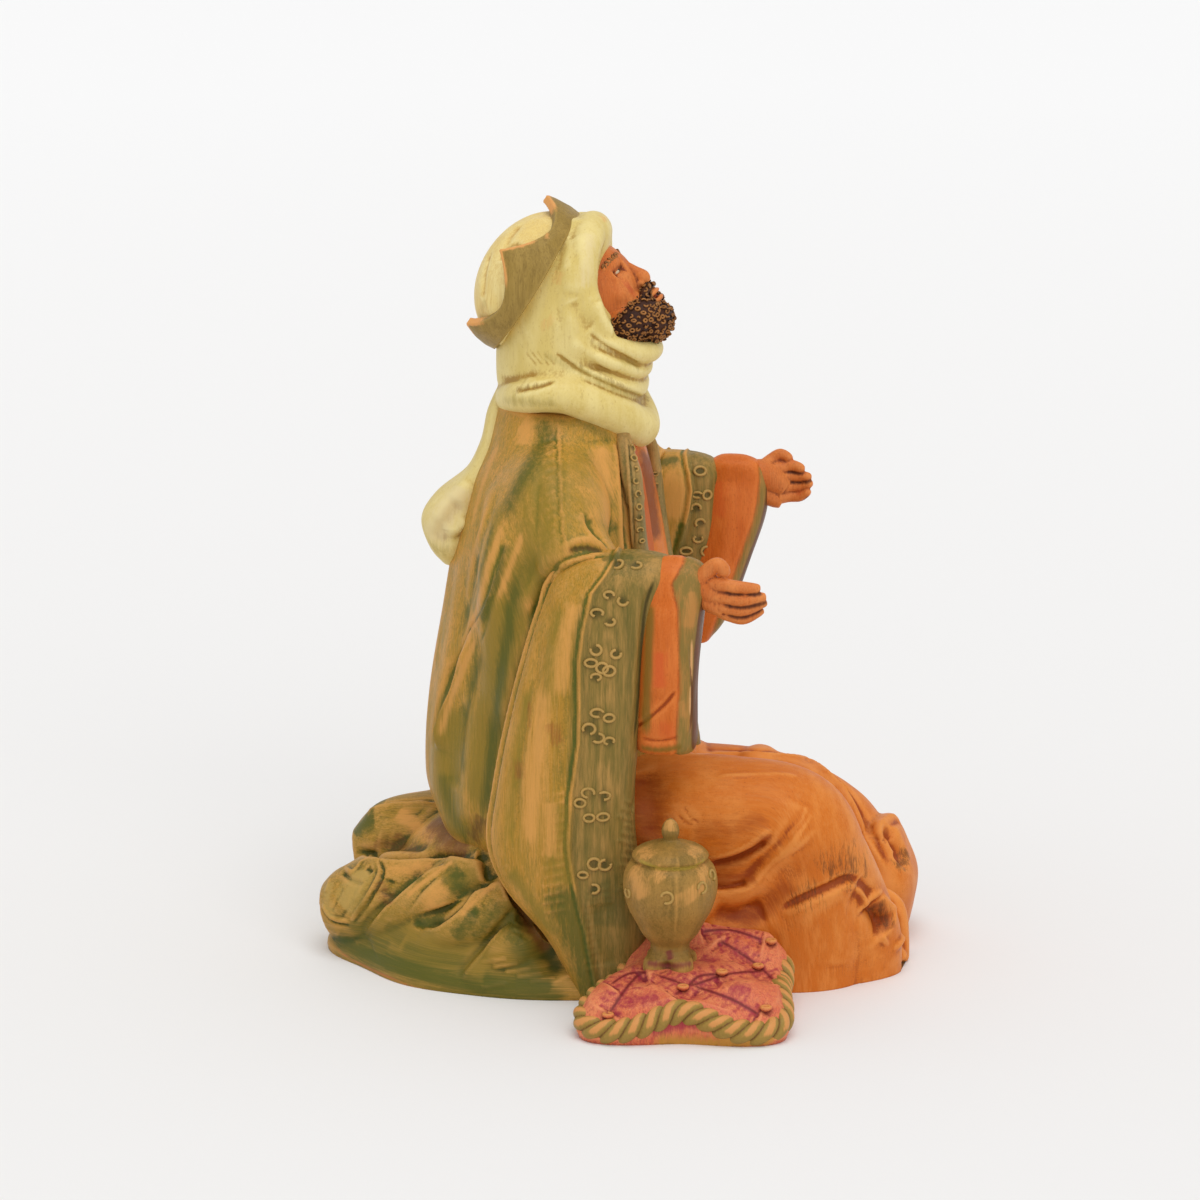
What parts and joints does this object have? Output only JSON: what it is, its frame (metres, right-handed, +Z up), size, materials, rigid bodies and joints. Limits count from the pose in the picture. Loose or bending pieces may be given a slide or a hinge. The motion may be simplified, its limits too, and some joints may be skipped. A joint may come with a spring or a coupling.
{
  "type": "presepe figure",
  "caption": "Moulded crib figure of a robed king kneeling with open arms and face raised, with a corded cushion and a lidded jar beside him.",
  "frame": {"origin": "the middle of the flat underside, on the surface the figure stands on", "axes": "+Z up, the figure faces -Y, +X to the figure's left, so the cushion and jar are on the -X side"},
  "size_m": [0.0708, 0.0772, 0.0986],
  "materials": {
    "cloak_paint": "satin, ochre with green and olive washes and a little salmon where the plastic shows",
    "tunic_paint": "satin, orange with brown washes",
    "scarf_paint": "satin, pale cream yellow with brown in the creases",
    "skin_paint": "satin, red brown",
    "beard_paint": "satin, dark brown with ochre on the raised curls",
    "crown_paint": "satin, dull olive gold, worn to pink at its points",
    "cushion_paint": "satin, salmon with magenta in the quilting",
    "cord_paint": "satin, olive with peach strands",
    "jar_paint": "satin, dull olive gold with peach highlights"
  },
  "bodies": {
    "root": {"kneeling_king": "cloak_paint"}
  },
  "joints": []
}
